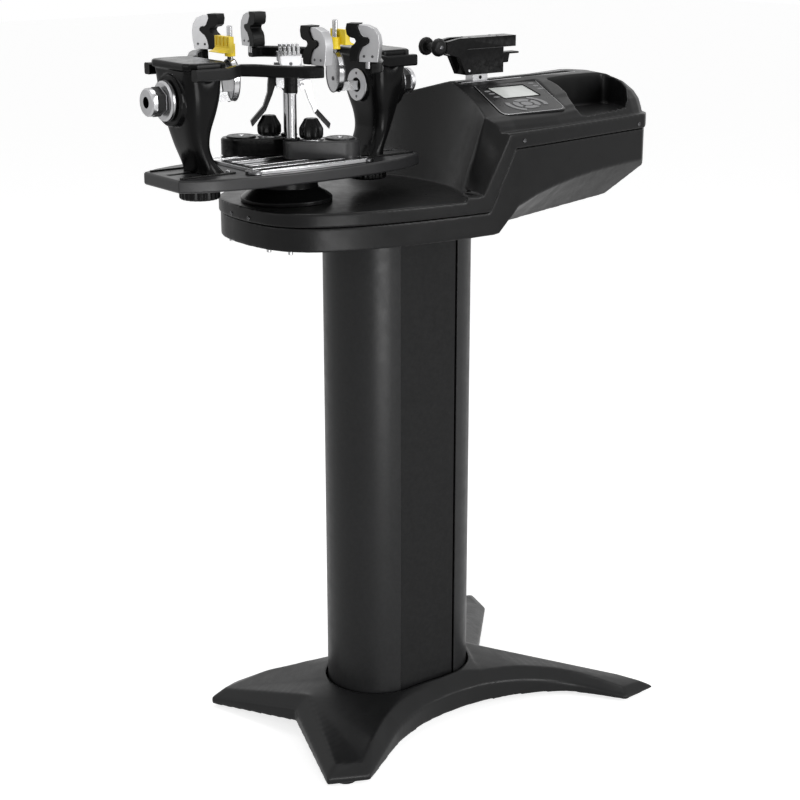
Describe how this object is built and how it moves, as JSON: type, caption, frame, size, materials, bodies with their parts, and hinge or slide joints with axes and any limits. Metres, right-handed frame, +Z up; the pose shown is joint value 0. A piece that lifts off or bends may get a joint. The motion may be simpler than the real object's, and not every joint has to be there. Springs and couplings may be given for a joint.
{
  "type": "racket stringing machine",
  "caption": "Electronic racket stringing machine on a column stand: turntable with frame jaws and string clamps, control panel, and a sliding pulling head.",
  "frame": {"origin": "middle of the outer sizes along X and Y, on the floor", "axes": "+Z up; X runs along the head, from the turntable end at -X to the rear of the pulling unit at +X; the person stands at -Y, where the control panel is"},
  "size_m": [0.845, 0.486, 1.13],
  "materials": {
    "base_paint": "matt black textured paint",
    "column_paint": "satin black paint",
    "shell_plastic": "fine grained black",
    "black_metal": "satin black coat",
    "black_plastic": "moulded",
    "rubber": "soft matt",
    "bright_steel": "polished",
    "satin_aluminium": "satin",
    "yellow_plastic": "moulded",
    "screen_glass": "display window",
    "key_grey": "printed keys",
    "panel_film": "satin film"
  },
  "bodies": {
    "stand": {"base_casting": "base_paint", "foot_front_near": "rubber", "foot_rear_near": "rubber", "foot_front_far": "rubber", "foot_rear_far": "rubber", "column_mast": "column_paint", "column_front_cover": "column_paint", "column_rear_cover": "column_paint", "upper_shell": "shell_plastic", "lower_shell": "shell_plastic", "slide_frame": "satin_aluminium", "panel_bezel": "panel_film", "panel_screen": "screen_glass", "hub_bearing": "black_metal"},
    "turntable": {"turntable_beam": "black_metal", "glide_plate": "bright_steel"},
    "carriage": {"pull_carriage": "satin_aluminium", "grip_head": "black_metal"},
    "spool": {"grip_spool": "rubber"},
    "gripper_lever": {"grip_lever": "black_plastic"},
    "body_key_enter": {"key_enter": "key_grey"},
    "body_key_left": {"key_left": "key_grey"},
    "body_key_right": {"key_right": "key_grey"},
    "body_key_up": {"key_up": "key_grey"},
    "body_key_down": {"key_down": "key_grey"},
    "body_key_less": {"key_less": "key_grey"},
    "body_key_more": {"key_more": "key_grey"},
    "post_slide_body_rear": {"post_rear": "black_metal"},
    "lock_knob_body_rear": {"lock_knob_rear": "black_plastic"},
    "side_adjuster_body_rear": {"side_adjuster_rear": "satin_aluminium"},
    "centre_adjuster_body_rear": {"centre_adjuster_rear": "satin_aluminium"},
    "centre_bar_body_rear": {"centre_bar_rear": "bright_steel", "cradle_rear": "yellow_plastic"},
    "arm_body_rear_near": {"arm_rear_near": "black_metal"},
    "jaw_body_rear_near": {"jaw_plate_rear_near": "satin_aluminium", "jaw_pad_rear_near": "rubber"},
    "arm_body_rear_far": {"arm_rear_far": "black_metal"},
    "jaw_body_rear_far": {"jaw_plate_rear_far": "satin_aluminium", "jaw_pad_rear_far": "rubber"},
    "post_slide_body_front": {"post_front": "black_metal"},
    "lock_knob_body_front": {"lock_knob_front": "black_plastic"},
    "side_adjuster_body_front": {"side_adjuster_front": "satin_aluminium"},
    "centre_adjuster_body_front": {"centre_adjuster_front": "satin_aluminium"},
    "centre_bar_body_front": {"centre_bar_front": "bright_steel", "cradle_front": "yellow_plastic"},
    "arm_body_front_near": {"arm_front_near": "black_metal"},
    "jaw_body_front_near": {"jaw_plate_front_near": "satin_aluminium", "jaw_pad_front_near": "rubber"},
    "arm_body_front_far": {"arm_front_far": "black_metal"},
    "jaw_body_front_far": {"jaw_plate_front_far": "satin_aluminium", "jaw_pad_front_far": "rubber"},
    "clamp_base_near": {"clamp_block_near": "black_metal"},
    "clamp_knob_body_near": {"clamp_knob_near": "black_plastic"},
    "clamp_post_near": {"clamp_head_near": "bright_steel"},
    "clamp_lever_body_near": {"clamp_lever_near": "satin_aluminium"},
    "clamp_base_far": {"clamp_block_far": "black_metal"},
    "clamp_knob_body_far": {"clamp_knob_far": "black_plastic"},
    "clamp_post_far": {"clamp_head_far": "bright_steel"},
    "clamp_lever_body_far": {"clamp_lever_far": "satin_aluminium"}
  },
  "joints": [
    {"name": "turntable_spin", "type": "hinge", "parent": "stand", "child": "turntable", "pos_m": [-0.1975, 0, 0.9], "axis": [0, 0, 1], "continuous": true},
    {"name": "carriage_slide", "type": "slide", "parent": "stand", "child": "carriage", "axis": [1, 0, 0], "range_m": [-0.02, 0.15]},
    {"name": "spool_spin", "type": "hinge", "parent": "carriage", "child": "spool", "pos_m": [0.0725, 0, 1.075], "axis": [0, 1, 0], "continuous": true},
    {"name": "gripper_lever_hinge", "type": "hinge", "parent": "carriage", "child": "gripper_lever", "pos_m": [0.1965, 0, 1.052], "axis": [0, 1, 0], "range_deg": [0, 25], "stiffness_Nm_per_rad": 0.05, "springref_deg": -14.32},
    {"name": "key_enter_press", "type": "slide", "parent": "stand", "child": "body_key_enter", "axis": [0, 0.2695, -0.963], "range_m": [0, 0.0008], "stiffness_N_per_m": 400, "springref_m": -0.0005},
    {"name": "key_left_press", "type": "slide", "parent": "stand", "child": "body_key_left", "axis": [0, 0.2695, -0.963], "range_m": [0, 0.0008], "stiffness_N_per_m": 400, "springref_m": -0.0005},
    {"name": "key_right_press", "type": "slide", "parent": "stand", "child": "body_key_right", "axis": [0, 0.2695, -0.963], "range_m": [0, 0.0008], "stiffness_N_per_m": 400, "springref_m": -0.0005},
    {"name": "key_up_press", "type": "slide", "parent": "stand", "child": "body_key_up", "axis": [0, 0.2695, -0.963], "range_m": [0, 0.0008], "stiffness_N_per_m": 400, "springref_m": -0.0005},
    {"name": "key_down_press", "type": "slide", "parent": "stand", "child": "body_key_down", "axis": [0, 0.2695, -0.963], "range_m": [0, 0.0008], "stiffness_N_per_m": 400, "springref_m": -0.0005},
    {"name": "key_less_press", "type": "slide", "parent": "stand", "child": "body_key_less", "axis": [0, 0.2695, -0.963], "range_m": [0, 0.0008], "stiffness_N_per_m": 400, "springref_m": -0.0005},
    {"name": "key_more_press", "type": "slide", "parent": "stand", "child": "body_key_more", "axis": [0, 0.2695, -0.963], "range_m": [0, 0.0008], "stiffness_N_per_m": 400, "springref_m": -0.0005},
    {"name": "post_rear_slide", "type": "slide", "parent": "turntable", "child": "post_slide_body_rear", "axis": [1, 0, 0], "range_m": [0, 0.03]},
    {"name": "lock_knob_rear_turn", "type": "hinge", "parent": "post_slide_body_rear", "child": "lock_knob_body_rear", "pos_m": [-0.0515, 0, 0.9], "axis": [0, 0, 1], "continuous": true},
    {"name": "side_adjuster_rear_turn", "type": "hinge", "parent": "post_slide_body_rear", "child": "side_adjuster_body_rear", "pos_m": [-0.0025, 0, 1.028], "axis": [1, 0, 0], "range_deg": [0, 360]},
    {"name": "centre_adjuster_rear_turn", "type": "hinge", "parent": "post_slide_body_rear", "child": "centre_adjuster_body_rear", "pos_m": [0.0125, 0, 1.028], "axis": [1, 0, 0], "range_deg": [-540, 360]},
    {"name": "centre_bar_rear_slide", "type": "slide", "parent": "post_slide_body_rear", "child": "centre_bar_body_rear", "axis": [-1, 0, 0], "range_m": [-0.018, 0.012]},
    {"name": "arm_rear_near_slide", "type": "slide", "parent": "post_slide_body_rear", "child": "arm_body_rear_near", "axis": [0, -1, 0], "range_m": [0, 0.025]},
    {"name": "jaw_rear_near_swivel", "type": "hinge", "parent": "arm_body_rear_near", "child": "jaw_body_rear_near", "pos_m": [-0.1575, -0.149, 1.0785], "axis": [0, 0, 1], "range_deg": [-75, 5]},
    {"name": "arm_rear_far_slide", "type": "slide", "parent": "post_slide_body_rear", "child": "arm_body_rear_far", "axis": [0, 1, 0], "range_m": [0, 0.025]},
    {"name": "jaw_rear_far_swivel", "type": "hinge", "parent": "arm_body_rear_far", "child": "jaw_body_rear_far", "pos_m": [-0.1575, 0.149, 1.0785], "axis": [0, 0, 1], "range_deg": [-38, 42]},
    {"name": "post_front_slide", "type": "slide", "parent": "turntable", "child": "post_slide_body_front", "axis": [-1, 0, 0], "range_m": [0, 0.03]},
    {"name": "lock_knob_front_turn", "type": "hinge", "parent": "post_slide_body_front", "child": "lock_knob_body_front", "pos_m": [-0.3435, 0, 0.9], "axis": [0, 0, 1], "continuous": true},
    {"name": "side_adjuster_front_turn", "type": "hinge", "parent": "post_slide_body_front", "child": "side_adjuster_body_front", "pos_m": [-0.3925, 0, 1.028], "axis": [-1, 0, 0], "range_deg": [0, 360]},
    {"name": "centre_adjuster_front_turn", "type": "hinge", "parent": "post_slide_body_front", "child": "centre_adjuster_body_front", "pos_m": [-0.4075, 0, 1.028], "axis": [-1, 0, 0], "range_deg": [-540, 360]},
    {"name": "centre_bar_front_slide", "type": "slide", "parent": "post_slide_body_front", "child": "centre_bar_body_front", "axis": [1, 0, 0], "range_m": [-0.018, 0.012]},
    {"name": "arm_front_near_slide", "type": "slide", "parent": "post_slide_body_front", "child": "arm_body_front_near", "axis": [0, -1, 0], "range_m": [0, 0.025]},
    {"name": "jaw_front_near_swivel", "type": "hinge", "parent": "arm_body_front_near", "child": "jaw_body_front_near", "pos_m": [-0.2375, -0.149, 1.0785], "axis": [0, 0, 1], "range_deg": [-48, 32]},
    {"name": "arm_front_far_slide", "type": "slide", "parent": "post_slide_body_front", "child": "arm_body_front_far", "axis": [0, 1, 0], "range_m": [0, 0.025]},
    {"name": "jaw_front_far_swivel", "type": "hinge", "parent": "arm_body_front_far", "child": "jaw_body_front_far", "pos_m": [-0.2375, 0.149, 1.0785], "axis": [0, 0, 1], "range_deg": [-65, 15]},
    {"name": "clamp_near_slide", "type": "slide", "parent": "turntable", "child": "clamp_base_near", "axis": [1, 0, 0], "range_m": [-0.024, 0.0015]},
    {"name": "clamp_knob_near_turn", "type": "hinge", "parent": "clamp_base_near", "child": "clamp_knob_body_near", "pos_m": [-0.16056, -0.01225, 0.97], "axis": [0, 0, 1], "continuous": true},
    {"name": "clamp_near_swivel", "type": "hinge", "parent": "clamp_base_near", "child": "clamp_post_near", "pos_m": [-0.18685, 0.00001, 0.99], "axis": [0, 0, 1], "range_deg": [-40, 40]},
    {"name": "clamp_lever_near_hinge", "type": "hinge", "parent": "clamp_post_near", "child": "clamp_lever_body_near", "pos_m": [-0.17235, -0.00676, 1.036], "axis": [-0.4226, -0.9063, 0], "range_deg": [0, 40]},
    {"name": "clamp_far_slide", "type": "slide", "parent": "turntable", "child": "clamp_base_far", "axis": [1, 0, 0], "range_m": [-0.0015, 0.024]},
    {"name": "clamp_knob_far_turn", "type": "hinge", "parent": "clamp_base_far", "child": "clamp_knob_body_far", "pos_m": [-0.18944, 0.05425, 0.97], "axis": [0, 0, 1], "continuous": true},
    {"name": "clamp_far_swivel", "type": "hinge", "parent": "clamp_base_far", "child": "clamp_post_far", "pos_m": [-0.16315, 0.04199, 0.99], "axis": [0, 0, 1], "range_deg": [-40, 40]},
    {"name": "clamp_lever_far_hinge", "type": "hinge", "parent": "clamp_post_far", "child": "clamp_lever_body_far", "pos_m": [-0.17765, 0.04876, 1.036], "axis": [0.4226, 0.9063, 0], "range_deg": [0, 40]}
  ],
  "couplings": [
    {"joint": "centre_adjuster_rear_turn", "follows": "centre_bar_rear_slide", "rad_per_m": 523.49},
    {"joint": "side_adjuster_rear_turn", "follows": "arm_rear_near_slide", "rad_per_m": 251.28},
    {"joint": "arm_rear_far_slide", "follows": "arm_rear_near_slide", "ratio": 1},
    {"joint": "centre_adjuster_front_turn", "follows": "centre_bar_front_slide", "rad_per_m": 523.49},
    {"joint": "side_adjuster_front_turn", "follows": "arm_front_near_slide", "rad_per_m": 251.28},
    {"joint": "arm_front_far_slide", "follows": "arm_front_near_slide", "ratio": 1}
  ]
}
